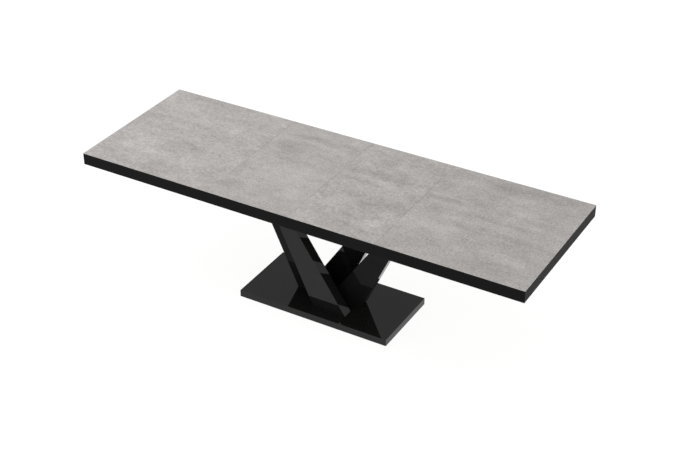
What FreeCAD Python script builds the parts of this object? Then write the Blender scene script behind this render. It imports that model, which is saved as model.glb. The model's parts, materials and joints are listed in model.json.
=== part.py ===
import FreeCAD, Part

import math
import os

# Extendable pedestal dining table, fully extended with both leaves in.
# Millimetres. Origin on the floor under the middle of the table, X along the
# length, Y across it, Z up. The table is the same after half a turn about Z.
#
# Four leaning boards stand on a base plate and carry four cross bearers. Two
# centre rails lie on the bearers. The two halves of the top hang on runners
# that slide in the centre rails, and a pinion between each pair of racks makes
# both halves move by the same amount. The leaves lie loose on the runners.

# Table top
HALF_LENGTH = 800.0
LEAF_LENGTH = 500.0
TOP_WIDTH = 890.0
TOP_HEIGHT = 782.0
SEAM_GAP = 0.5
SKIN = 1.0
CORE = 22.0
APRON = 22.0
APRON_BOTTOM = 715.0

# Pedestal
GLIDE_HEIGHT = 2.0
GLIDE_RADIUS = 18.0
GLIDE_SPIGOT = 4.0
GLIDE_SPIGOT_LENGTH = 10.0
GLIDE_INSET = 40.0
PLATE_LENGTH = 920.0
PLATE_WIDTH = 446.0
PLATE_THICKNESS = 40.0
LEG_THICKNESS = 60.0
LEG_FOOT = 200.0
LEG_HEAD = 60.0
LEG_SPREAD = 308.0
MIDDLE_LEG_REACH = 200.0
OUTER_LEG_REACH = 32.0
OUTER_LEG_Y = 120.0

# Bolts from under the base plate into threaded inserts in the legs
BOLT_SPACING = 100.0
BOLT_RADIUS = 4.0
BOLT_HEAD = 6.5
BOLT_HEAD_HEIGHT = 8.0
COUNTERBORE = 8.0
COUNTERBORE_DEPTH = 10.0
BOLT_TIP = 80.0
INSERT_RADIUS = 6.0
INSERT_LENGTH = 22.0
INSERT_DEPTH = 2.0
HOLE_CLEARANCE = 0.1
DRILL_SPARE = 1.0

# Key sockets: width across the flats per shaft radius, depth per head height
SOCKET_ACROSS = 1.25
SOCKET_DEPTH = 0.7

# Countersunk screws: shaft radius and head radius
LEG_SCREW = (3.0, 6.0)
LEG_SCREW_TIP = 675.0
LEG_SCREW_INSET = 4.0
LEG_SCREW_SPACING = 30.0
RAIL_SCREW = (2.5, 5.0)
RAIL_SCREW_TIP = 750.0
SMALL_SCREW = (2.0, 4.0)
SMALL_SCREW_OFFSET = 27.0
CORE_BITE = 16.0
STOP_SCREW_TIP = 753.0

# Bearers, centre rails and runners
BEARER_WIDTH = 60.0
BEARER_THICKNESS = 20.0
BEARER_LENGTH = 600.0
SLIDE_Y = 260.0
RAIL_LENGTH = 1000.0
RAIL_HALF_WIDTH = 10.0
RAIL_HEIGHT = 22.0
GUIDE_DEPTH = 4.0
GUIDE_HEIGHT = 3.5
GUIDE_Z = 737.0
SLIDE_GAP = 0.5
RUNNER_WIDTH = 24.0
RUNNER_LENGTH = 1300.0
RUNNER_OVERLAP = 100.0
RUNNER_LIFT = 1.0
PACKER_LENGTH = 60.0
PACKER_X = (550.0, 860.0, 1150.0)

# Rack and pinion
MODULE = 2.0
PINION_TEETH = 14
PRESSURE_ANGLE = math.radians(20.0)
ADDENDUM = 0.75 * MODULE
DEDENDUM = 1.1 * MODULE
BACKLASH = 0.3
PINION_Z = 744.0
PINION_HEIGHT = 6.0
PINION_PIN = 3.0
PINION_FIT = 0.05
RACK_BACK = 20.0
RACK_HEIGHT = 7.0
RACK_GAPS_INSIDE = 14
RACK_GAPS_OUTSIDE = 85

# Stop blocks, leaf saddles and leaf locks
STOP_LENGTH = 18.0
STOP_HEIGHT = 14.0
STOP_X = 230.5
SADDLE_X = (200.0, 400.0)
SADDLE_LENGTH = 40.0
SADDLE_LIP = 8.0
SADDLE_BOTTOM = 745.0
SADDLE_CLEARANCE = 1.0
REST_GAP = 0.3
LOCK_Y = 380.0
LOCK_INSET = 38.0
LOCK_REACH = 68.0
HOOK_HALF_WIDTH = 9.0
HOOK_EYE = 11.0
HOOK_TIP = 12.0
HOOK_BOTTOM = 751.0
HOOK_THICKNESS = 3.0
HOOK_SLOT = 4.5
PIVOT_HEAD = 8.0
PIVOT_HEAD_HEIGHT = 3.0
PIVOT_SHOULDER = 4.0
PIVOT_FIT = 0.05
PIVOT_COLLAR = 7.0
PIVOT_THREAD = 3.0
STUD_RADIUS = 3.0
STUD_BELOW_HOOK = 2.0
STUD_FLANGE = 8.0
STUD_FLANGE_HEIGHT = 2.0
STUD_THREAD = 2.0
STUD_BITE = 12.0

# Worked out from the above
PLATE_TOP = GLIDE_HEIGHT + PLATE_THICKNESS
SKIN_BOTTOM = TOP_HEIGHT - SKIN
CORE_BOTTOM = SKIN_BOTTOM - CORE
HALF_WIDTH = TOP_WIDTH / 2
TABLE_HALF_LENGTH = LEAF_LENGTH + HALF_LENGTH
BEARER_TOP = APRON_BOTTOM + BEARER_THICKNESS
RAIL_TOP = BEARER_TOP + RAIL_HEIGHT
RUNNER_BOTTOM = BEARER_TOP + RUNNER_LIFT
RUNNER_TOP = RAIL_TOP
RUNNER_IN = RAIL_HALF_WIDTH + SLIDE_GAP
RUNNER_OUT = RUNNER_IN + RUNNER_WIDTH
PITCH_RADIUS = MODULE * PINION_TEETH / 2
TOOTH_PITCH = math.pi * MODULE
LOCK_X = LEAF_LENGTH + LOCK_INSET
STUD_X = LOCK_X - LOCK_REACH

SIDES = {"left": -1, "right": 1}
DEPTHS = {"front": -1, "back": 1}


# ---- plain solids ------------------------------------------------------------
def point(x, y, z):
    return FreeCAD.Vector(x, y, z)


def box(x0, x1, y0, y1, z0, z1):
    """Block between two corners, given in any order along each axis."""
    low = point(min(x0, x1), min(y0, y1), min(z0, z1))
    return Part.makeBox(abs(x1 - x0), abs(y1 - y0), abs(z1 - z0), low)


def prism(points, direction):
    """Flat outline pushed along a direction."""
    wire = Part.makePolygon(points + [points[0]])
    return Part.Face(wire).extrude(direction)


def prism_up(outline, z0, z1):
    points = [point(x, y, z0) for x, y in outline]
    return prism(points, point(0, 0, z1 - z0))


def prism_along_x(outline, x0, x1):
    points = [point(x0, y, z) for y, z in outline]
    return prism(points, point(x1 - x0, 0, 0))


def prism_along_y(outline, y0, y1):
    points = [point(x, y0, z) for x, z in outline]
    return prism(points, point(0, y1 - y0, 0))


def rod(x, y, z0, z1, radius):
    return Part.makeCylinder(radius, z1 - z0, point(x, y, z0))


def hex_socket(x, y, z_face, depth, radius):
    """Six-sided key socket in a screw's head; depth is signed, up or down from the face."""
    corner = SOCKET_ACROSS * radius / math.sqrt(3)
    angles = [turn * math.pi / 3 for turn in range(6)]
    outline = [(x + corner * math.cos(angle), y + corner * math.sin(angle)) for angle in angles]
    return prism_up(outline, z_face, z_face + depth)


def countersunk(x, y, z_head, z_tip, radius, head_radius):
    """Cone at z_head that meets a plain shaft reaching to z_tip."""
    way = 1 if z_tip > z_head else -1
    depth = head_radius - radius
    axis = point(0, 0, way)
    head = Part.makeCone(head_radius, radius, depth, point(x, y, z_head), axis)
    length = abs(z_tip - z_head) - depth
    shaft = Part.makeCylinder(radius, length, point(x, y, z_head + way * depth), axis)
    return head.fuse(shaft).removeSplitter()


def countersunk_screw(x, y, z_head, z_tip, radius, head_radius):
    """Countersunk screw with its head flush at z_head."""
    way = 1 if z_tip > z_head else -1
    depth = SOCKET_DEPTH * (head_radius - radius)
    screw = countersunk(x, y, z_head, z_tip, radius, head_radius)
    return screw.cut(hex_socket(x, y, z_head, way * depth, radius))


def countersunk_hole(x, y, z_head, z_tip, radius, head_radius):
    """The hole that holds such a screw, with clearance all round and at the tip."""
    way = 1 if z_tip > z_head else -1
    tip = z_tip + way * HOLE_CLEARANCE
    return countersunk(
        x, y, z_head, tip, radius + HOLE_CLEARANCE, head_radius + HOLE_CLEARANCE
    )


def joined(shapes):
    return shapes[0].fuse(shapes[1:]).removeSplitter()


# ---- pedestal ----------------------------------------------------------------
# name: (direction of lean, centre in Y, distance of the outer foot corner from X = 0)
LEGS = {
    "leg_middle_left": (-1, 0.0, MIDDLE_LEG_REACH),
    "leg_middle_right": (1, 0.0, MIDDLE_LEG_REACH),
    "leg_front": (-1, -OUTER_LEG_Y, OUTER_LEG_REACH),
    "leg_back": (1, OUTER_LEG_Y, OUTER_LEG_REACH),
}
BEARER_X = {
    "bearer_left_outer": -(MIDDLE_LEG_REACH + LEG_SPREAD - LEG_HEAD / 2),
    "bearer_left_inner": -(OUTER_LEG_REACH + LEG_SPREAD - LEG_HEAD / 2),
    "bearer_right_inner": OUTER_LEG_REACH + LEG_SPREAD - LEG_HEAD / 2,
    "bearer_right_outer": MIDDLE_LEG_REACH + LEG_SPREAD - LEG_HEAD / 2,
}


def foot_bolt_points(leg):
    """Where the two bolts of a leg stand."""
    lean, y, reach = LEGS[leg]
    middle = lean * (reach - LEG_FOOT / 2)
    return [(middle + way * BOLT_SPACING / 2, y) for way in (-1, 1)]


def all_foot_bolt_points():
    return [spot for leg in LEGS for spot in foot_bolt_points(leg)]


def head_screw_points(leg):
    """Where the two screws through the bearer enter the top of a leg."""
    lean, y, reach = LEGS[leg]
    x = lean * (reach + LEG_SPREAD - LEG_HEAD / 2 - LEG_SCREW_INSET)
    return [(x, y + way * LEG_SCREW_SPACING / 2) for way in (-1, 1)]


def head_screws(make):
    """Screws or their holes at every leg top, as `make` says."""
    return [
        make(x, y, BEARER_TOP, LEG_SCREW_TIP, *LEG_SCREW)
        for leg in LEGS
        for x, y in head_screw_points(leg)
    ]


def rail_screws(make):
    """Screws or their holes from under each bearer up into the centre rails."""
    return [
        make(x, y, APRON_BOTTOM, RAIL_SCREW_TIP, *RAIL_SCREW)
        for x in BEARER_X.values()
        for y in (-SLIDE_Y, SLIDE_Y)
    ]


def glide_points():
    x = PLATE_LENGTH / 2 - GLIDE_INSET
    y = PLATE_WIDTH / 2 - GLIDE_INSET
    return [(sx * x, sy * y) for sx in (-1, 0, 1) for sy in (-1, 1)]


def base_plate():
    plate = box(
        -PLATE_LENGTH / 2, PLATE_LENGTH / 2,
        -PLATE_WIDTH / 2, PLATE_WIDTH / 2,
        GLIDE_HEIGHT, PLATE_TOP,
    )
    holes = []
    for x, y in all_foot_bolt_points():
        top_of_bore = GLIDE_HEIGHT + COUNTERBORE_DEPTH
        holes.append(rod(x, y, GLIDE_HEIGHT, top_of_bore, COUNTERBORE))
        holes.append(rod(x, y, top_of_bore, PLATE_TOP, BOLT_RADIUS + HOLE_CLEARANCE))
    for x, y in glide_points():
        top = GLIDE_HEIGHT + GLIDE_SPIGOT_LENGTH + HOLE_CLEARANCE
        holes.append(rod(x, y, GLIDE_HEIGHT, top, GLIDE_SPIGOT + HOLE_CLEARANCE))
    return plate.cut(holes)


def glide(x, y):
    """Plastic glide: a disc with a spigot pushed into the plate."""
    top = GLIDE_HEIGHT + GLIDE_SPIGOT_LENGTH
    disc = rod(x, y, 0, GLIDE_HEIGHT, GLIDE_RADIUS)
    return joined([disc, rod(x, y, GLIDE_HEIGHT, top, GLIDE_SPIGOT)])


def leg_board(leg):
    """Leaning board: wide foot, narrow head, both edges leaning the same way."""
    lean, y, reach = LEGS[leg]
    outline = [
        (lean * reach, PLATE_TOP),
        (lean * (reach - LEG_FOOT), PLATE_TOP),
        (lean * (reach + LEG_SPREAD - LEG_HEAD), APRON_BOTTOM),
        (lean * (reach + LEG_SPREAD), APRON_BOTTOM),
    ]
    board = prism_along_y(outline, y - LEG_THICKNESS / 2, y + LEG_THICKNESS / 2)
    holes = head_screws(countersunk_hole)
    insert_top = PLATE_TOP + INSERT_DEPTH + INSERT_LENGTH
    hole_top = BOLT_TIP + DRILL_SPARE
    for bolt_x, bolt_y in foot_bolt_points(leg):
        holes.append(rod(bolt_x, bolt_y, PLATE_TOP, insert_top, INSERT_RADIUS + HOLE_CLEARANCE))
        holes.append(rod(bolt_x, bolt_y, insert_top, hole_top, BOLT_RADIUS + HOLE_CLEARANCE))
    return board.cut(holes)


def foot_bolt(x, y):
    head_bottom = GLIDE_HEIGHT + COUNTERBORE_DEPTH - BOLT_HEAD_HEIGHT
    head_top = GLIDE_HEIGHT + COUNTERBORE_DEPTH
    head = rod(x, y, head_bottom, head_top, BOLT_HEAD)
    bolt = joined([head, rod(x, y, head_top, BOLT_TIP, BOLT_RADIUS)])
    return bolt.cut(hex_socket(x, y, head_bottom, SOCKET_DEPTH * BOLT_HEAD_HEIGHT, BOLT_RADIUS))


def threaded_insert(x, y):
    bottom = PLATE_TOP + INSERT_DEPTH
    sleeve = rod(x, y, bottom, bottom + INSERT_LENGTH, INSERT_RADIUS)
    bore = rod(x, y, bottom, bottom + INSERT_LENGTH, BOLT_RADIUS + HOLE_CLEARANCE)
    return sleeve.cut(bore)


def cross_bearer(x):
    bar = box(
        x - BEARER_WIDTH / 2, x + BEARER_WIDTH / 2,
        -BEARER_LENGTH / 2, BEARER_LENGTH / 2,
        APRON_BOTTOM, BEARER_TOP,
    )
    return bar.cut(head_screws(countersunk_hole) + rail_screws(countersunk_hole))


# ---- slides ------------------------------------------------------------------
def centre_rail(depth):
    """Fixed rail with a guide groove along each side and a pocket for the pinion."""
    y = depth * SLIDE_Y
    bar = box(
        -RAIL_LENGTH / 2, RAIL_LENGTH / 2,
        y - RAIL_HALF_WIDTH, y + RAIL_HALF_WIDTH,
        BEARER_TOP, RAIL_TOP,
    )
    tools = rail_screws(countersunk_hole)
    for side in SIDES.values():
        face = y + side * RAIL_HALF_WIDTH
        floor = face - side * GUIDE_DEPTH
        tools.append(box(
            -RAIL_LENGTH / 2, RAIL_LENGTH / 2, floor, face,
            GUIDE_Z - SLIDE_GAP, GUIDE_Z + GUIDE_HEIGHT + SLIDE_GAP,
        ))
    pocket = PITCH_RADIUS + ADDENDUM + 2 * SLIDE_GAP
    tools.append(box(
        -pocket, pocket, y - RAIL_HALF_WIDTH, y + RAIL_HALF_WIDTH,
        PINION_Z - REST_GAP, PINION_Z + PINION_HEIGHT + REST_GAP,
    ))
    tools.append(rod(0, y, BEARER_TOP, RAIL_TOP, PINION_PIN + PINION_FIT))
    return bar.cut(tools)


def runner_span(side):
    """The two ends of a runner in X, the inner end first."""
    inner = -side * RUNNER_OVERLAP
    return inner, inner + side * RUNNER_LENGTH


def runner_screws(side, make):
    """Screws or holes that hold a half's runners up to its core."""
    return [
        make(
            side * x, depth * SLIDE_Y + side * SMALL_SCREW_OFFSET,
            RUNNER_BOTTOM, CORE_BOTTOM + CORE_BITE, *SMALL_SCREW,
        )
        for x in PACKER_X
        for depth in DEPTHS.values()
    ]


def stop_screws(side, make):
    """Screws or holes that hold the stop blocks up to the runners."""
    return [
        make(
            side * STOP_X, depth * SLIDE_Y + side * SMALL_SCREW_OFFSET,
            RUNNER_BOTTOM - STOP_HEIGHT, STOP_SCREW_TIP, *SMALL_SCREW,
        )
        for depth in DEPTHS.values()
    ]


def runner(side, depth):
    """Sliding bar with a tongue in the rail's groove and a channel for the rack."""
    tongue_tip = RUNNER_IN - GUIDE_DEPTH
    channel_bottom = PINION_Z - (RACK_HEIGHT - PINION_HEIGHT) / 2 - HOLE_CLEARANCE
    channel_top = channel_bottom + RACK_HEIGHT + 2 * HOLE_CLEARANCE
    outline = [
        (RUNNER_OUT, RUNNER_BOTTOM),
        (RUNNER_OUT, RUNNER_TOP),
        (RUNNER_IN, RUNNER_TOP),
        (RUNNER_IN, channel_top),
        (RACK_BACK + HOLE_CLEARANCE, channel_top),
        (RACK_BACK + HOLE_CLEARANCE, channel_bottom),
        (RUNNER_IN, channel_bottom),
        (RUNNER_IN, GUIDE_Z + GUIDE_HEIGHT),
        (tongue_tip, GUIDE_Z + GUIDE_HEIGHT),
        (tongue_tip, GUIDE_Z),
        (RUNNER_IN, GUIDE_Z),
        (RUNNER_IN, RUNNER_BOTTOM),
    ]
    y = depth * SLIDE_Y
    section = [(y + side * across, z) for across, z in outline]
    bar = prism_along_x(section, *runner_span(side))
    tools = runner_screws(side, countersunk_hole) + stop_screws(side, countersunk_hole)
    return bar.cut(tools)


def rack(side, depth):
    """Toothed strip in the runner's channel; a tooth gap lies at X = 0."""
    half_tooth = TOOTH_PITCH / 4 - BACKLASH / 4
    at_tip = half_tooth - ADDENDUM * math.tan(PRESSURE_ANGLE)
    at_root = half_tooth + DEDENDUM * math.tan(PRESSURE_ANGLE)
    tip = PITCH_RADIUS - ADDENDUM
    root = PITCH_RADIUS + DEDENDUM
    first = -RACK_GAPS_INSIDE * TOOTH_PITCH
    last = RACK_GAPS_OUTSIDE * TOOTH_PITCH
    outline = [(first, RACK_BACK), (first, root)]
    for tooth in range(-RACK_GAPS_INSIDE, RACK_GAPS_OUTSIDE):
        middle = (tooth + 0.5) * TOOTH_PITCH
        outline.append((middle - at_root, root))
        outline.append((middle - at_tip, tip))
        outline.append((middle + at_tip, tip))
        outline.append((middle + at_root, root))
    outline += [(last, root), (last, RACK_BACK)]
    placed = [(side * x, depth * SLIDE_Y + side * y) for x, y in outline]
    bottom = PINION_Z - (RACK_HEIGHT - PINION_HEIGHT) / 2
    return prism_up(placed, bottom, bottom + RACK_HEIGHT)


def involute_angle(radius, base):
    """Polar angle an involute has turned through when it reaches a radius."""
    swing = math.sqrt(max((radius / base) ** 2 - 1, 0))
    return swing - math.atan(swing)


def pinion(depth):
    """Involute pinion with one tooth towards each rack, bored for its pin."""
    base = PITCH_RADIUS * math.cos(PRESSURE_ANGLE)
    tip = PITCH_RADIUS + ADDENDUM
    root = PITCH_RADIUS - DEDENDUM
    steps = 5
    at_pitch = (TOOTH_PITCH / 4 - BACKLASH / 4) / PITCH_RADIUS
    at_base = at_pitch + involute_angle(PITCH_RADIUS, base)
    flank = [(root, at_base)]
    for step in range(steps + 1):
        radius = base + (tip - base) * step / steps
        flank.append((radius, at_base - involute_angle(radius, base)))
    outline = []
    for tooth in range(PINION_TEETH):
        middle = math.pi / 2 + tooth * 2 * math.pi / PINION_TEETH
        rising = [(radius, middle - half) for radius, half in flank]
        falling = [(radius, middle + half) for radius, half in reversed(flank)]
        outline += rising + falling
    y = depth * SLIDE_Y
    placed = [(r * math.cos(a), y + r * math.sin(a)) for r, a in outline]
    wheel = prism_up(placed, PINION_Z, PINION_Z + PINION_HEIGHT)
    bore = rod(0, y, PINION_Z, PINION_Z + PINION_HEIGHT, PINION_PIN + PINION_FIT)
    return wheel.cut(bore)


def pinion_pins():
    return [rod(0, depth * SLIDE_Y, BEARER_TOP, RAIL_TOP, PINION_PIN) for depth in DEPTHS.values()]


def runner_packers(side):
    """Packers that hold the runners a little below the core."""
    packers = []
    for x in PACKER_X:
        for depth in DEPTHS.values():
            y = depth * SLIDE_Y
            packer = box(
                side * (x - PACKER_LENGTH / 2), side * (x + PACKER_LENGTH / 2),
                y + side * RUNNER_IN, y + side * RUNNER_OUT,
                RUNNER_TOP, CORE_BOTTOM,
            )
            packers.append(packer.cut(runner_screws(side, countersunk_hole)))
    return packers


def stop_blocks(side):
    """Blocks under the runners that stop against the inner bearers."""
    blocks = []
    for depth in DEPTHS.values():
        y = depth * SLIDE_Y
        block = box(
            side * (STOP_X - STOP_LENGTH / 2), side * (STOP_X + STOP_LENGTH / 2),
            y + side * RUNNER_IN, y + side * RUNNER_OUT,
            RUNNER_BOTTOM - STOP_HEIGHT, RUNNER_BOTTOM,
        )
        blocks.append(block.cut(stop_screws(side, countersunk_hole)))
    return blocks


# ---- halves of the top ---------------------------------------------------------
def lock_points(side, x):
    return [(side * x, depth * LOCK_Y) for depth in DEPTHS.values()]


def half_core(side):
    core = box(
        side * (LEAF_LENGTH + SEAM_GAP / 2), side * (TABLE_HALF_LENGTH - APRON),
        -HALF_WIDTH + APRON, HALF_WIDTH - APRON,
        CORE_BOTTOM, SKIN_BOTTOM,
    )
    holes = runner_screws(side, countersunk_hole)
    hole_top = CORE_BOTTOM + CORE_BITE + DRILL_SPARE
    for x, y in lock_points(side, LOCK_X):
        holes.append(rod(x, y, CORE_BOTTOM, hole_top, PIVOT_THREAD + HOLE_CLEARANCE))
    return core.cut(holes)


def half_skin(side):
    return box(
        side * (LEAF_LENGTH + SEAM_GAP / 2), side * TABLE_HALF_LENGTH,
        -HALF_WIDTH, HALF_WIDTH, SKIN_BOTTOM, TOP_HEIGHT,
    )


def half_side_apron(side, depth):
    """Long apron board of a half, mitred at the table's end."""
    seam = side * (LEAF_LENGTH + SEAM_GAP / 2)
    outline = [
        (seam, depth * HALF_WIDTH),
        (side * TABLE_HALF_LENGTH, depth * HALF_WIDTH),
        (side * (TABLE_HALF_LENGTH - APRON), depth * (HALF_WIDTH - APRON)),
        (seam, depth * (HALF_WIDTH - APRON)),
    ]
    return prism_up(outline, APRON_BOTTOM, SKIN_BOTTOM)


def half_end_apron(side):
    """Apron board across the table's end, mitred at both corners."""
    outline = [
        (side * TABLE_HALF_LENGTH, -HALF_WIDTH),
        (side * TABLE_HALF_LENGTH, HALF_WIDTH),
        (side * (TABLE_HALF_LENGTH - APRON), HALF_WIDTH - APRON),
        (side * (TABLE_HALF_LENGTH - APRON), -HALF_WIDTH + APRON),
    ]
    return prism_up(outline, APRON_BOTTOM, SKIN_BOTTOM)


# ---- leaf locks ----------------------------------------------------------------
def lock_pivot(x, y):
    """Shoulder screw: head under the hook, collar above it, thread in the core."""
    head_top = HOOK_BOTTOM - REST_GAP
    head_bottom = head_top - PIVOT_HEAD_HEIGHT
    collar_bottom = HOOK_BOTTOM + HOOK_THICKNESS + REST_GAP
    pivot = joined([
        rod(x, y, head_bottom, head_top, PIVOT_HEAD),
        rod(x, y, head_top, collar_bottom, PIVOT_SHOULDER),
        rod(x, y, collar_bottom, CORE_BOTTOM, PIVOT_COLLAR),
        rod(x, y, CORE_BOTTOM, CORE_BOTTOM + CORE_BITE, PIVOT_THREAD),
    ])
    return pivot.cut(hex_socket(x, y, head_bottom, SOCKET_DEPTH * PIVOT_HEAD_HEIGHT, PIVOT_SHOULDER))


def lock_hook(side, depth):
    """Swivel hook, parked along Y; a quarter turn brings its slot round the stud."""
    top = HOOK_BOTTOM + HOOK_THICKNESS
    tip = LOCK_REACH + HOOK_TIP
    plate = joined([
        rod(0, 0, HOOK_BOTTOM, top, HOOK_EYE),
        box(0, tip, -HOOK_HALF_WIDTH, HOOK_HALF_WIDTH, HOOK_BOTTOM, top),
    ])
    mouth = box(
        LOCK_REACH - HOOK_SLOT, LOCK_REACH + HOOK_SLOT,
        0, -side * depth * HOOK_HALF_WIDTH, HOOK_BOTTOM, top,
    )
    plate = plate.cut([
        rod(0, 0, HOOK_BOTTOM, top, PIVOT_SHOULDER + PIVOT_FIT),
        rod(LOCK_REACH, 0, HOOK_BOTTOM, top, HOOK_SLOT),
        mouth,
    ])
    plate.rotate(point(0, 0, 0), point(0, 0, 1), -depth * 90.0)
    plate.translate(point(side * LOCK_X, depth * LOCK_Y, 0))
    return plate


def lock_stud(x, y):
    """Plain stud under a leaf that the hook closes round."""
    end = HOOK_BOTTOM - STUD_BELOW_HOOK
    flange_bottom = CORE_BOTTOM - STUD_FLANGE_HEIGHT
    stud = joined([
        rod(x, y, end, flange_bottom, STUD_RADIUS),
        rod(x, y, flange_bottom, CORE_BOTTOM, STUD_FLANGE),
        rod(x, y, CORE_BOTTOM, CORE_BOTTOM + STUD_BITE, STUD_THREAD),
    ])
    return stud.cut(hex_socket(x, y, end, SOCKET_DEPTH * STUD_RADIUS, STUD_THREAD))


# ---- leaves ----------------------------------------------------------------------
def leaf_core(side):
    core = box(
        side * SEAM_GAP / 2, side * (LEAF_LENGTH - SEAM_GAP / 2),
        -HALF_WIDTH + APRON, HALF_WIDTH - APRON,
        CORE_BOTTOM, SKIN_BOTTOM,
    )
    hole_top = CORE_BOTTOM + STUD_BITE + DRILL_SPARE
    holes = [
        rod(x, y, CORE_BOTTOM, hole_top, STUD_THREAD + HOLE_CLEARANCE)
        for x, y in lock_points(side, STUD_X)
    ]
    return core.cut(holes)


def leaf_skin(side):
    return box(
        side * SEAM_GAP / 2, side * (LEAF_LENGTH - SEAM_GAP / 2),
        -HALF_WIDTH, HALF_WIDTH, SKIN_BOTTOM, TOP_HEIGHT,
    )


def leaf_apron(side, depth):
    return box(
        side * SEAM_GAP / 2, side * (LEAF_LENGTH - SEAM_GAP / 2),
        depth * (HALF_WIDTH - APRON), depth * HALF_WIDTH,
        APRON_BOTTOM, SKIN_BOTTOM,
    )


def leaf_saddle(side, depth, x):
    """Plastic saddle under a leaf: a pad on the runner and a lip down each side."""
    outer = RUNNER_OUT + SADDLE_CLEARANCE
    inner = RAIL_HALF_WIDTH + SADDLE_CLEARANCE
    pad_bottom = RUNNER_TOP + REST_GAP
    outline = [
        (outer + SADDLE_LIP, SADDLE_BOTTOM),
        (outer + SADDLE_LIP, CORE_BOTTOM),
        (-inner - SADDLE_LIP, CORE_BOTTOM),
        (-inner - SADDLE_LIP, SADDLE_BOTTOM),
        (-inner, SADDLE_BOTTOM),
        (-inner, pad_bottom),
        (outer, pad_bottom),
        (outer, SADDLE_BOTTOM),
    ]
    section = [(depth * SLIDE_Y + side * across, z) for across, z in outline]
    start = side * (x - SADDLE_LENGTH / 2)
    return prism_along_x(section, start, start + side * SADDLE_LENGTH)


# ---- all nodes ---------------------------------------------------------------
def pedestal_nodes():
    nodes = {
        "base_plate": [base_plate()],
        "base_glides": [glide(x, y) for x, y in glide_points()],
        "leg_bolts": [foot_bolt(x, y) for x, y in all_foot_bolt_points()],
        "leg_inserts": [threaded_insert(x, y) for x, y in all_foot_bolt_points()],
        "bearer_screws": head_screws(countersunk_screw),
        "rail_screws": rail_screws(countersunk_screw),
        "pinion_pins": pinion_pins(),
    }
    for leg in LEGS:
        nodes[leg] = [leg_board(leg)]
    for name, x in BEARER_X.items():
        nodes[name] = [cross_bearer(x)]
    for word, depth in DEPTHS.items():
        nodes["centre_rail_" + word] = [centre_rail(depth)]
        nodes["pinion_" + word] = [pinion(depth)]
    return nodes


def half_nodes(name, side):
    slide_screws = runner_screws(side, countersunk_screw) + stop_screws(side, countersunk_screw)
    nodes = {
        name + "_top_core": [half_core(side)],
        name + "_top_skin": [half_skin(side)],
        name + "_apron_end": [half_end_apron(side)],
        name + "_racks": [rack(side, depth) for depth in DEPTHS.values()],
        name + "_runner_packers": runner_packers(side),
        name + "_runner_screws": slide_screws,
        name + "_stop_blocks": stop_blocks(side),
        name + "_lock_pivots": [lock_pivot(x, y) for x, y in lock_points(side, LOCK_X)],
    }
    for word, depth in DEPTHS.items():
        nodes[name + "_apron_" + word] = [half_side_apron(side, depth)]
        nodes[name + "_runner_" + word] = [runner(side, depth)]
        nodes[name + "_lock_hook_" + word] = [lock_hook(side, depth)]
    return nodes


def leaf_nodes(name, side):
    nodes = {
        name + "_leaf_core": [leaf_core(side)],
        name + "_leaf_skin": [leaf_skin(side)],
        name + "_leaf_studs": [lock_stud(x, y) for x, y in lock_points(side, STUD_X)],
        name + "_leaf_saddles": [
            leaf_saddle(side, depth, x) for depth in DEPTHS.values() for x in SADDLE_X
        ],
    }
    for word, depth in DEPTHS.items():
        nodes[name + "_leaf_apron_" + word] = [leaf_apron(side, depth)]
    return nodes


def build():
    nodes = pedestal_nodes()
    for name, side in SIDES.items():
        nodes.update(half_nodes(name, side))
        nodes.update(leaf_nodes(name, side))
    return nodes


os.makedirs("parts", exist_ok=True)
for node, solids in build().items():
    shape = solids[0] if len(solids) == 1 else Part.makeCompound(solids)
    shape.exportStep("parts/" + node + ".step")
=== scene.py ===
import json
import math

import bpy
from mathutils import Euler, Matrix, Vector


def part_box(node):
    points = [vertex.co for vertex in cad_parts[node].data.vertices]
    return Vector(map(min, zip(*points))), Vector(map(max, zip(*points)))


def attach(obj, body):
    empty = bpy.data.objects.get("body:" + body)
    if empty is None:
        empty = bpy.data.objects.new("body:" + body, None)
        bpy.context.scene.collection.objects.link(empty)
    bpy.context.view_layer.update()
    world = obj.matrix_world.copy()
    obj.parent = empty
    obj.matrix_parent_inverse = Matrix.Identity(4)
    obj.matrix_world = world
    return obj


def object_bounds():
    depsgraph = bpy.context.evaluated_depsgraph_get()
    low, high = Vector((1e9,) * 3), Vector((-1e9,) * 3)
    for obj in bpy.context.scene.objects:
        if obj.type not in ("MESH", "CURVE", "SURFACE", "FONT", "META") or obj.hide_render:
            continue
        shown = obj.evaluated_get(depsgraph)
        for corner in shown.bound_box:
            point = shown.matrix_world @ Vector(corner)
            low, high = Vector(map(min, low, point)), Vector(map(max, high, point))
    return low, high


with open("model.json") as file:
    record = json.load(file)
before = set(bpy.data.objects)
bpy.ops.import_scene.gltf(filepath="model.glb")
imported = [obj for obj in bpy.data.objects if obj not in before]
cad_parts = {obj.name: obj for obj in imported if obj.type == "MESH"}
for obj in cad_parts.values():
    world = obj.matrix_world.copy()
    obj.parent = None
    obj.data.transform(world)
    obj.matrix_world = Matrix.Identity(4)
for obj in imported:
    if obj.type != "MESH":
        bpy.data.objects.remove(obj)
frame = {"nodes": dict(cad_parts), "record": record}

# Looks of the extendable dining table. Every CAD node keeps its shape and gets a
# procedural material, and all but the steel and nylon ones get softened edges.
# Thin black edging is added in the seams. Metres, the frame's own axes.

CAD_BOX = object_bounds()
NODES = frame["nodes"]
SLOT_OF = {s["node"]: s["material_slot"] for s in frame["record"]["subparts"]}

# Camera: the direction it looks from, where it stands, and its lens
AZIMUTH = math.radians(30.234)
ELEVATION = math.radians(32.143)
CAMERA_PLACE = Vector((3.251, -5.519, 4.518))
LENS = 75.28
SENSOR = 36.0

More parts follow.
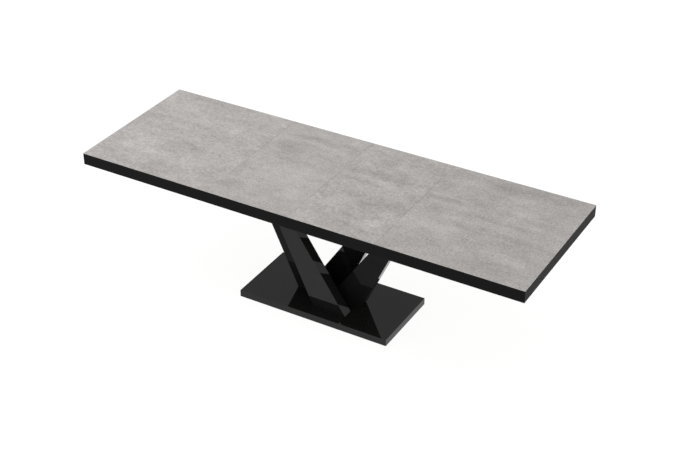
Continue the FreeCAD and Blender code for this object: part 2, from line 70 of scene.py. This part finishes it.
# Stage: a pale floor that glows a little, under a sky that is whiter at the horizon
FLOOR_SIZE = 60.0
FLOOR_COLOUR = (0.12, 0.12, 0.12, 1.0)
FLOOR_GLOW = 0.925
WHITE = (1.0, 1.0, 1.0, 1.0)
SKY_STRENGTH = 0.66
HORIZON_STRENGTH = 1.02
HORIZON_RISE = 0.35

# Softbox up on the left, and a broad soft light from the front right
SOFTBOX_PLACE = (-3.6, -1.4, 6.0)
SOFTBOX_AIM = (0, 0, 0.4)
SOFTBOX_SIZE = 3.0
SOFTBOX_POWER = 170
SUN_FROM = (0.6, -0.6, 1.3)
SUN_SPREAD = 60
SUN_STRENGTH = 0.6

# Width of the softened edges by material slot. Edges sharper than EDGE_ANGLE are
# rounded, after points closer than WELD_DISTANCE are joined and faces that meet at
# less than FLAT_ANGLE are merged.
EDGE_WIDTH = {
    "black_gloss_lacquer": 0.0012,
    "black_apron_board": 0.0008,
    "concrete_laminate": 0.0003,
    "core_board": 0.0005,
    "beech": 0.001,
    "slide_aluminium": 0.0004,
    "black_plastic": 0.0005,
}
EDGE_STEPS = 2
EDGE_ANGLE = math.radians(40)
WELD_DISTANCE = 0.00001
FLAT_ANGLE = math.radians(0.5)

# Each panel's laminate is cut from another place in the decor
PANEL_SHIFT = {
    "left_top_skin": (3.1, 1.7, 0.2),
    "left_leaf_skin": (7.4, 5.2, 0.9),
    "right_leaf_skin": (12.6, 9.3, 0.4),
    "right_top_skin": (18.2, 13.9, 0.7),
}
# Patches in the decor: middle in X and Y, half length, half width, tone (dark below nought)
DECOR_MARKS = {
    "left_top_skin": [
        (-0.95, 0.42, 0.35, 0.045, -1.0),
        (-1.20, 0.12, 0.14, 0.02, -1.5),
        (-1.15, 0.25, 0.13, 0.10, 0.6),
        (-0.80, 0.19, 0.12, 0.08, 1.0),
        (-0.95, 0.06, 0.13, 0.06, 1.0),
        (-0.88, -0.09, 0.14, 0.04, -1.0),
        (-1.02, -0.27, 0.15, 0.08, 1.6),
        (-0.70, -0.24, 0.11, 0.06, 1.0),
        (-0.95, -0.39, 0.22, 0.03, -0.9),
    ],
    "left_leaf_skin": [
        (-0.20, 0.32, 0.26, 0.025, -2.0),
        (-0.25, 0.27, 0.28, 0.02, 1.0),
        (-0.36, 0.17, 0.10, 0.07, -1.0),
        (-0.17, -0.05, 0.13, 0.10, 1.2),
        (-0.12, -0.22, 0.14, 0.08, 1.2),
        (-0.44, -0.31, 0.09, 0.05, -1.5),
        (-0.25, -0.36, 0.15, 0.05, -1.0),
    ],
    "right_leaf_skin": [
        (0.27, 0.16, 0.28, 0.03, -1.5),
        (0.30, 0.09, 0.28, 0.02, 0.8),
        (0.13, 0.055, 0.18, 0.02, -1.5),
        (0.28, 0.00, 0.28, 0.04, 0.6),
        (0.30, -0.10, 0.24, 0.06, -1.3),
        (0.40, -0.30, 0.13, 0.05, 1.5),
        (0.33, -0.39, 0.12, 0.03, -1.0),
    ],
    "right_top_skin": [
        (0.85, 0.37, 0.19, 0.05, -1.8),
        (1.10, 0.41, 0.22, 0.05, -1.2),
        (0.56, 0.23, 0.04, 0.06, -1.3),
        (0.60, 0.12, 0.14, 0.025, -2.0),
        (1.05, 0.13, 0.26, 0.025, -1.2),
        (0.62, 0.06, 0.13, 0.02, 1.0),
        (0.95, 0.04, 0.23, 0.02, -1.2),
        (0.95, -0.03, 0.30, 0.02, 0.8),
        (0.82, -0.085, 0.16, 0.03, -1.3),
        (1.15, -0.07, 0.15, 0.03, -0.9),
        (1.15, -0.25, 0.12, 0.05, 1.8),
        (1.13, -0.35, 0.13, 0.05, -1.2),
    ],
}
# How much each layer of the decor counts. In units of its half size, a patch has
# its full tone out to MARK_FULL and has faded out by MARK_END.
CLOUD_WEIGHT = 1.3
GRAIN_WEIGHT = 1.5
MARK_WEIGHT = 0.075
MARK_FULL = 0.2
MARK_END = 1.4
# How much painted shade darkens the laminate at a seam, and how far in the painted shade reaches
SEAM_WEIGHT = 0.08
SEAM_SHADE_WIDTH = 0.003
# An end of a panel that lies nearer than this to the table's own end meets no panel
END_SLACK = 0.003

# Edging: how far it stands off its panel's edge, how far its ends and bottom keep
# back from the aprons' faces, and its thickness by the way it faces. The two in a
# seam differ, so that no straight line of sight runs between them across the table.
BAND_OFF = 0.00002
BAND_SETBACK = 0.0012
BAND_THICKNESS = {-1: 0.00011, 1: 0.00033}


# ---- node helpers --------------------------------------------------------------
class Graph:
    """A material's node tree, with short calls for what the materials repeat."""

    def __init__(self, name):
        self.material = bpy.data.materials.new(name)
        self.material.use_nodes = True
        self.tree = self.material.node_tree
        self.tree.nodes.clear()
        self.shader = self.tree.nodes.new("ShaderNodeBsdfPrincipled")
        output = self.tree.nodes.new("ShaderNodeOutputMaterial")
        self.link(self.shader.outputs["BSDF"], output.inputs["Surface"])
        self.coordinates = self.tree.nodes.new("ShaderNodeTexCoord").outputs["Object"]

    def link(self, source, target):
        self.tree.links.new(source, target)

    def set(self, **values):
        """Values on the shader's own sockets, named with underscores for spaces."""
        for name, value in values.items():
            self.shader.inputs[name.replace("_", " ")].default_value = value

    def mapped(self, scale=(1, 1, 1), shift=(0, 0, 0), turn=(0, 0, 0), source=None):
        """Coordinates scaled, turned and then shifted."""
        node = self.tree.nodes.new("ShaderNodeMapping")
        node.inputs["Scale"].default_value = scale
        node.inputs["Location"].default_value = shift
        node.inputs["Rotation"].default_value = turn
        self.link(source or self.coordinates, node.inputs["Vector"])
        return node.outputs["Vector"]

    def wandering(self, scale, reach, detail=5.0, roughness=0.65):
        """Coordinates pushed about by a noise, by up to half of reach each way."""
        noise = self.tree.nodes.new("ShaderNodeTexNoise")
        noise.inputs["Scale"].default_value = scale
        noise.inputs["Detail"].default_value = detail
        noise.inputs["Roughness"].default_value = roughness
        self.link(self.coordinates, noise.inputs["Vector"])
        push = self.tree.nodes.new("ShaderNodeVectorMath")
        push.operation = "MULTIPLY_ADD"
        self.link(noise.outputs["Color"], push.inputs[0])
        push.inputs[1].default_value = (reach, reach, reach)
        self.link(self.coordinates, push.inputs[2])
        centre = self.tree.nodes.new("ShaderNodeVectorMath")
        centre.operation = "SUBTRACT"
        self.link(push.outputs["Vector"], centre.inputs[0])
        centre.inputs[1].default_value = (reach / 2, reach / 2, reach / 2)
        return centre.outputs["Vector"]

    def length(self, vector):
        """How long a vector is."""
        node = self.tree.nodes.new("ShaderNodeVectorMath")
        node.operation = "LENGTH"
        self.link(vector, node.inputs[0])
        return node.outputs["Value"]

    def axis(self, letter):
        """One of the object's own coordinates."""
        node = self.tree.nodes.new("ShaderNodeSeparateXYZ")
        self.link(self.coordinates, node.inputs["Vector"])
        return node.outputs[letter]

    def noise(self, vector, scale, detail=4.0, roughness=0.5, distortion=0.0):
        """Cloudy noise between nought and one."""
        node = self.tree.nodes.new("ShaderNodeTexNoise")
        node.inputs["Scale"].default_value = scale
        node.inputs["Detail"].default_value = detail
        node.inputs["Roughness"].default_value = roughness
        node.inputs["Distortion"].default_value = distortion
        self.link(vector, node.inputs["Vector"])
        return node.outputs["Fac"]

    def spots(self, vector, scale):
        """Distance to the nearest of many scattered points."""
        node = self.tree.nodes.new("ShaderNodeTexVoronoi")
        node.inputs["Scale"].default_value = scale
        self.link(vector, node.inputs["Vector"])
        return node.outputs["Distance"]

    def ranged(self, value, low, high, to_low=0.0, to_high=1.0, kind="LINEAR"):
        """A value between low and high, taken to between to_low and to_high."""
        node = self.tree.nodes.new("ShaderNodeMapRange")
        node.interpolation_type = kind
        node.inputs["From Min"].default_value = low
        node.inputs["From Max"].default_value = high
        node.inputs["To Min"].default_value = to_low
        node.inputs["To Max"].default_value = to_high
        self.link(value, node.inputs["Value"])
        return node.outputs["Result"]

    def maths(self, operation, first, second):
        """Arithmetic on two values, each a number or a socket."""
        node = self.tree.nodes.new("ShaderNodeMath")
        node.operation = operation
        for socket, value in zip(node.inputs, (first, second)):
            if isinstance(value, (int, float)):
                socket.default_value = value
            else:
                self.link(value, socket)
        return node.outputs["Value"]

    def total(self, *weighted):
        """Sum of (value, weight) pairs, each value taken about its middle of 0.5."""
        result = 0.5
        for value, weight in weighted:
            centred = self.maths("SUBTRACT", value, 0.5)
            result = self.maths("ADD", self.maths("MULTIPLY", centred, weight), result)
        return result

    def ramp(self, value, *stops):
        """Colour ramp; each stop is (position, (red, green, blue))."""
        node = self.tree.nodes.new("ShaderNodeValToRGB")
        elements = node.color_ramp.elements
        while len(elements) < len(stops):
            elements.new(0.5)
        for element, (position, colour) in zip(elements, stops):
            element.position = position
            element.color = (*colour, 1.0)
        self.link(value, node.inputs["Fac"])
        return node.outputs["Color"]

    def bump(self, height, distance):
        """Surface relief as deep as distance."""
        node = self.tree.nodes.new("ShaderNodeBump")
        node.inputs["Distance"].default_value = distance
        node.inputs["Strength"].default_value = 1.0
        self.link(height, node.inputs["Height"])
        self.link(node.outputs["Normal"], self.shader.inputs["Normal"])

    def to(self, socket, value):
        """Feeds one of the shader's own sockets."""
        self.link(value, self.shader.inputs[socket])


# ---- materials -----------------------------------------------------------------
def mating_edges(skin):
    """Where a panel meets another panel: each end's place in X and the way it faces."""
    low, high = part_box(skin)
    free_from = CAD_BOX[1].x - END_SLACK
    return [(x, way) for x, way in ((low.x, -1), (high.x, 1)) if abs(x) < free_from]


def painted_seam_shade(g, panel):
    """Painted shade at the seams: one over the panel, falling to nought beside each edge that meets
    another panel.
    """
    along = g.axis("X")
    shade = 1.0
    for edge, _ in mating_edges(panel):
        gap = g.maths("ABSOLUTE", g.maths("SUBTRACT", along, edge), 0.0)
        shade = g.maths("MULTIPLY", g.ranged(gap, 0.0, SEAM_SHADE_WIDTH), shade)
    return shade


def decor_marks(g, panel, wander):
    """Sum of the panel's pale and dark patches, each an ellipse with soft, wandering rims."""
    result = 0.0
    for x, y, half_length, half_width, tone in DECOR_MARKS[panel]:
        scale = (1 / half_length, 1 / half_width, 0)
        shift = (-x / half_length, -y / half_width, 0)
        place = g.mapped(scale=scale, shift=shift, source=wander)
        patch = g.ranged(g.length(place), MARK_END, MARK_FULL, 0.0, tone, "SMOOTHSTEP")
        result = g.maths("ADD", patch, result)
    return result


def concrete_laminate(name, panel):
    """Light warm-grey concrete decor: clouds, trowel streaks along X and fine grain."""
    g = Graph(name)
    shift = PANEL_SHIFT[panel]
    wander = g.wandering(scale=7.0, reach=0.09)
    clouds = g.noise(g.mapped(scale=(1, 1.6, 1), shift=shift), scale=4.5, detail=7, roughness=0.9)
    grain = g.noise(g.mapped(scale=(1, 1.2, 1), shift=shift), scale=85.0, detail=3, roughness=0.8)
    tone = g.total((clouds, CLOUD_WEIGHT), (grain, GRAIN_WEIGHT))
    marks = g.maths("MULTIPLY", decor_marks(g, panel, wander), MARK_WEIGHT)
    tone = g.maths("ADD", tone, marks)
    # Painted shade: the laminate is darkened beside each seam, where the gap between panels falls in
    # shadow.
    painted_seam_darkening = g.maths("MULTIPLY", g.maths("SUBTRACT", painted_seam_shade(g, panel), 1.0), SEAM_WEIGHT)
    tone = g.maths("ADD", tone, painted_seam_darkening)
    colour = g.ramp(
        tone,
        (0.0, (0.195, 0.182, 0.174)),
        (0.5, (0.363, 0.342, 0.329)),
        (1.0, (0.559, 0.533, 0.517)),
    )
    g.to("Base Color", colour)
    g.to("Roughness", g.ranged(grain, 0.3, 0.7, 0.42, 0.60))
    g.set(Specular_IOR_Level=0.35)
    g.bump(g.total((clouds, 0.4), (grain, 0.6)), distance=0.0002)
    return g.material


def gloss_lacquer(name, ior=1.31):
    """Black polished lacquer with the faintest waviness and hairline polish marks."""
    g = Graph(name)
    waves = g.noise(g.mapped(), scale=14.0, detail=1, roughness=0.4)
    marks = g.noise(g.mapped(turn=(0.3, 0.2, 0.5)), scale=420.0, detail=2, roughness=0.6)
    g.to("Base Color", g.ramp(
        waves,
        (0.3, (0.0078, 0.0078, 0.0079)),
        (0.7, (0.0098, 0.0098, 0.0099)),
    ))
    g.to("Roughness", g.ranged(marks, 0.3, 0.75, 0.015, 0.045))
    g.set(IOR=ior)
    g.bump(waves, distance=0.00004)
    return g.material


def shaded_lacquer(name):
    """Shaded copy of the gloss lacquer for the two middle boards: its lower IOR paints shade into their
    reflection, so they mirror less of the room.
    """
    return gloss_lacquer(name, ior=1.15)


def apron_board(name):
    """Black satin-faced board with a fine pressed grain."""
    g = Graph(name)
    grain = g.noise(g.mapped(scale=(0.35, 1, 1)), scale=260.0, detail=3, roughness=0.6)
    patches = g.noise(g.mapped(), scale=6.0, detail=3, roughness=0.5)
    g.to("Base Color", g.ramp(
        g.total((grain, 0.4), (patches, 0.6)),
        (0.3, (0.0012, 0.0012, 0.0012)),
        (0.7, (0.0030, 0.0030, 0.0030)),
    ))
    g.to("Roughness", g.ranged(grain, 0.3, 0.7, 0.50, 0.62))
    g.set(IOR=1.185)
    g.bump(grain, distance=0.00005)
    return g.material


def core_board(name):
    """Raw fibreboard: brown, with darker and paler fibres and a soft nap."""
    g = Graph(name)
    fibres = g.noise(g.mapped(scale=(1, 2.5, 2.5), turn=(0, 0, 0.4)), scale=300.0, detail=4, roughness=0.7)
    patches = g.noise(g.mapped(), scale=9.0, detail=4, roughness=0.55)
    flecks = g.spots(g.mapped(), scale=260.0)
    tone = g.total((fibres, 0.7), (patches, 0.5), (flecks, 0.25))
    g.to("Base Color", g.ramp(
        tone,
        (0.20, (0.215, 0.135, 0.075)),
        (0.50, (0.335, 0.225, 0.132)),
        (0.80, (0.440, 0.318, 0.200)),
    ))
    g.to("Roughness", g.ranged(fibres, 0.3, 0.7, 0.75, 0.92))
    g.set(Specular_IOR_Level=0.25)
    g.bump(fibres, distance=0.0002)
    return g.material


def beech(name):
    """Planed beech across the table: straight grain along Y with short dark flecks."""
    g = Graph(name)
    rings = g.noise(g.mapped(scale=(30, 1.2, 30)), scale=1.6, detail=3, roughness=0.55, distortion=0.5)
    pores = g.noise(g.mapped(scale=(260, 16, 260)), scale=1.0, detail=2, roughness=0.6)
    flecks = g.spots(g.mapped(scale=(90, 14, 90)), scale=3.0)
    tone = g.total((rings, 0.8), (pores, 0.35), (flecks, 0.2))
    g.to("Base Color", g.ramp(
        tone,
        (0.2, (0.330, 0.190, 0.100)),
        (0.5, (0.475, 0.300, 0.170)),
        (0.8, (0.590, 0.400, 0.245)),
    ))
    g.to("Roughness", g.ranged(pores, 0.3, 0.7, 0.45, 0.60))
    g.bump(pores, distance=0.0002)
    return g.material


def slide_aluminium(name):
    """Extruded aluminium with drawing lines along X."""
    g = Graph(name)
    lines = g.noise(g.mapped(scale=(2, 900, 900)), scale=1.0, detail=3, roughness=0.6)
    smudges = g.noise(g.mapped(), scale=11.0, detail=4, roughness=0.6)
    g.to("Base Color", g.ramp(lines, (0.3, (0.52, 0.53, 0.54)), (0.7, (0.68, 0.69, 0.70))))
    g.to("Roughness", g.ranged(smudges, 0.3, 0.7, 0.28, 0.42))
    g.set(Metallic=1.0)
    g.bump(lines, distance=0.00003)
    return g.material


def zinc_steel(name):
    """Zinc-plated steel: cool, with a pale crystalline mottle."""
    g = Graph(name)
    crystals = g.spots(g.mapped(), scale=420.0)
    smudges = g.noise(g.mapped(), scale=90.0, detail=3, roughness=0.6)
    g.to("Base Color", g.ramp(crystals, (0.1, (0.50, 0.51, 0.54)), (0.8, (0.66, 0.67, 0.68))))
    g.to("Roughness", g.ranged(smudges, 0.3, 0.7, 0.24, 0.40))
    g.set(Metallic=1.0)
    g.bump(smudges, distance=0.00003)
    return g.material


def moulded_plastic(name, dark, light, rough_low, rough_high):
    """Moulded plastic with a fine spark-eroded texture."""
    g = Graph(name)
    texture = g.noise(g.mapped(), scale=700.0, detail=2, roughness=0.6)
    patches = g.noise(g.mapped(), scale=35.0, detail=3, roughness=0.5)
    g.to("Base Color", g.ramp(g.total((texture, 0.3), (patches, 0.7)), (0.3, dark), (0.7, light)))
    g.to("Roughness", g.ranged(texture, 0.3, 0.7, rough_low, rough_high))
    g.bump(texture, distance=0.00005)
    return g.material


def white_nylon(name):
    """Natural white nylon."""
    return moulded_plastic(name, (0.66, 0.65, 0.60), (0.78, 0.77, 0.73), 0.38, 0.50)


def black_plastic(name):
    """Charcoal plastic of the glides, saddles, packers and stops."""
    return moulded_plastic(name, (0.012, 0.012, 0.012), (0.024, 0.024, 0.023), 0.45, 0.60)


def edge_band_plastic(name):
    """Blacker, smoother plastic for the edging in the seams."""
    return moulded_plastic(name, (0.006, 0.006, 0.006), (0.011, 0.011, 0.011), 0.35, 0.50)


MAKERS = {
    "black_gloss_lacquer": gloss_lacquer,
    "shaded_gloss_lacquer": shaded_lacquer,
    "black_apron_board": apron_board,
    "core_board": core_board,
    "beech": beech,
    "slide_aluminium": slide_aluminium,
    "zinc_steel": zinc_steel,
    "white_nylon": white_nylon,
    "black_plastic": black_plastic,
}


# ---- CAD nodes -----------------------------------------------------------------
def dress_nodes():
    """Gives every CAD node its material, and softened edges where its slot has a width."""
    shared = {slot: make(slot) for slot, make in MAKERS.items()}
    for name, node in NODES.items():
        slot = SLOT_OF[name]
        if name in PANEL_SHIFT:
            material = concrete_laminate("concrete_" + name, name)
        # Painted shade: the two middle boards get a copy of the lacquer that reflects less.
        elif name.startswith("leg_middle"):
            material = shared["shaded_gloss_lacquer"]
        else:
            material = shared[slot]
        node.data.materials.clear()
        node.data.materials.append(material)
        if slot in EDGE_WIDTH:
            soften_edges(node, EDGE_WIDTH[slot])


def soften_edges(node, width):
    """Rounds a piece's sharp edges, once its flat faces are whole."""
    weld = node.modifiers.new("weld", "WELD")
    weld.merge_threshold = WELD_DISTANCE
    merge = node.modifiers.new("flat_faces", "DECIMATE")
    merge.decimate_type = "DISSOLVE"
    merge.angle_limit = FLAT_ANGLE
    bevel = node.modifiers.new("edges", "BEVEL")
    bevel.width = width
    bevel.segments = EDGE_STEPS
    bevel.limit_method = "ANGLE"
    bevel.angle_limit = EDGE_ANGLE


# ---- edge bands ----------------------------------------------------------------
def thin_plate(name, outline, x0, x1):
    """Plate across the table, from x0 up to x1; its (y, z) outline turns clockwise."""
    mesh = bpy.data.meshes.new(name)
    points = [(x, y, z) for x in (x0, x1) for y, z in outline]
    count = len(outline)
    turns = [(i, (i + 1) % count) for i in range(count)]
    sides = [(b, a, a + count, b + count) for a, b in turns]
    caps = [tuple(range(count)), tuple(reversed(range(count, 2 * count)))]
    mesh.from_pydata(points, [], sides + caps)
    plate = bpy.data.objects.new(name, mesh)
    bpy.context.scene.collection.objects.link(plate)
    return plate


def edge_band(name, panel, apron, x, way):
    """Black edging over a panel's mating edge, from apron to apron."""
    skin_low, skin_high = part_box(panel + "_skin")
    core_low, core_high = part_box(panel + "_core")
    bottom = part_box(apron)[0].z + BAND_SETBACK
    half_width = skin_high.y - BAND_SETBACK
    inner = core_high.y
    top = skin_low.z
    outline = [
        (-half_width, bottom), (-half_width, top), (half_width, top), (half_width, bottom),
        (inner, bottom), (inner, core_low.z), (-inner, core_low.z), (-inner, bottom),
    ]
    start = x + way * BAND_OFF
    ends = sorted((start, start + way * BAND_THICKNESS[way]))
    return thin_plate(name, outline, *ends)


def edge_bands():
    """Edging on both ends of each leaf and on the inner end of each half."""
    plastic = edge_band_plastic("edge_band")
    for side in ("left", "right"):
        for panel, apron, body in (
            (side + "_leaf", side + "_leaf_apron_front", side + "_leaf"),
            (side + "_top", side + "_apron_front", side + "_half"),
        ):
            for x, way in mating_edges(panel + "_skin"):
                end = "low" if way < 0 else "high"
                band = edge_band(panel + "_edge_band_" + end, panel, apron, x, way)
                band.data.materials.append(plastic)
                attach(band, body)


# ---- stage, light and camera ---------------------------------------------------
def floor():
    """Wide pale floor at the height that the table stands on."""
    half = FLOOR_SIZE / 2
    mesh = bpy.data.meshes.new("stage_floor")
    corners = [(-half, -half, 0), (half, -half, 0), (half, half, 0), (-half, half, 0)]
    mesh.from_pydata(corners, [], [(0, 1, 2, 3)])
    plane = bpy.data.objects.new("stage_floor", mesh)
    bpy.context.scene.collection.objects.link(plane)
    g = Graph("stage_floor")
    g.set(Base_Color=FLOOR_COLOUR, Roughness=0.9, Specular_IOR_Level=0.0)
    g.set(Emission_Color=WHITE, Emission_Strength=FLOOR_GLOW)
    mesh.materials.append(g.material)


def soft_sun(name, from_direction, spread, strength):
    """Even light from a broad patch of sky centred on a direction."""
    light = bpy.data.lights.new(name, "SUN")
    light.angle = math.radians(spread)
    light.energy = strength
    lamp = bpy.data.objects.new(name, light)
    lamp.rotation_euler = Vector(from_direction).to_track_quat("Z", "Y").to_euler()
    bpy.context.scene.collection.objects.link(lamp)


def softbox(name, place, aim, size, power):
    """Square area lamp turned towards a point."""
    light = bpy.data.lights.new(name, "AREA")
    light.size = size
    light.energy = power
    lamp = bpy.data.objects.new(name, light)
    lamp.location = place
    lamp.rotation_euler = (Vector(place) - Vector(aim)).to_track_quat("Z", "Y").to_euler()
    bpy.context.scene.collection.objects.link(lamp)


def studio_sky():
    """White at the horizon, where it meets the floor, and softer overhead."""
    world = bpy.data.worlds.new("studio")
    world.use_nodes = True
    tree = world.node_tree
    background = tree.nodes["Background"]
    background.inputs["Color"].default_value = WHITE
    direction = tree.nodes.new("ShaderNodeTexCoord")
    parts = tree.nodes.new("ShaderNodeSeparateXYZ")
    fade = tree.nodes.new("ShaderNodeMapRange")
    fade.interpolation_type = "SMOOTHSTEP"
    fade.inputs["From Max"].default_value = HORIZON_RISE
    fade.inputs["To Min"].default_value = HORIZON_STRENGTH
    fade.inputs["To Max"].default_value = SKY_STRENGTH
    tree.links.new(direction.outputs["Generated"], parts.inputs["Vector"])
    tree.links.new(parts.outputs["Z"], fade.inputs["Value"])
    tree.links.new(fade.outputs["Result"], background.inputs["Strength"])
    return world


def lights():
    """The sky and both lamps."""
    bpy.context.scene.world = studio_sky()
    softbox("left", SOFTBOX_PLACE, SOFTBOX_AIM, SOFTBOX_SIZE, SOFTBOX_POWER)
    soft_sun("front_right", SUN_FROM, SUN_SPREAD, SUN_STRENGTH)


def camera():
    """Camera at the photo's viewpoint."""
    data = bpy.data.cameras.new("camera")
    data.lens = LENS
    data.sensor_width = SENSOR
    eye = bpy.data.objects.new("camera", data)
    eye.location = CAMERA_PLACE
    eye.rotation_euler = Euler((math.pi / 2 - ELEVATION, 0, AZIMUTH))
    bpy.context.scene.collection.objects.link(eye)
    bpy.context.scene.camera = eye


dress_nodes()
edge_bands()
floor()
lights()
camera()
bpy.context.scene.view_settings.view_transform = "Standard"
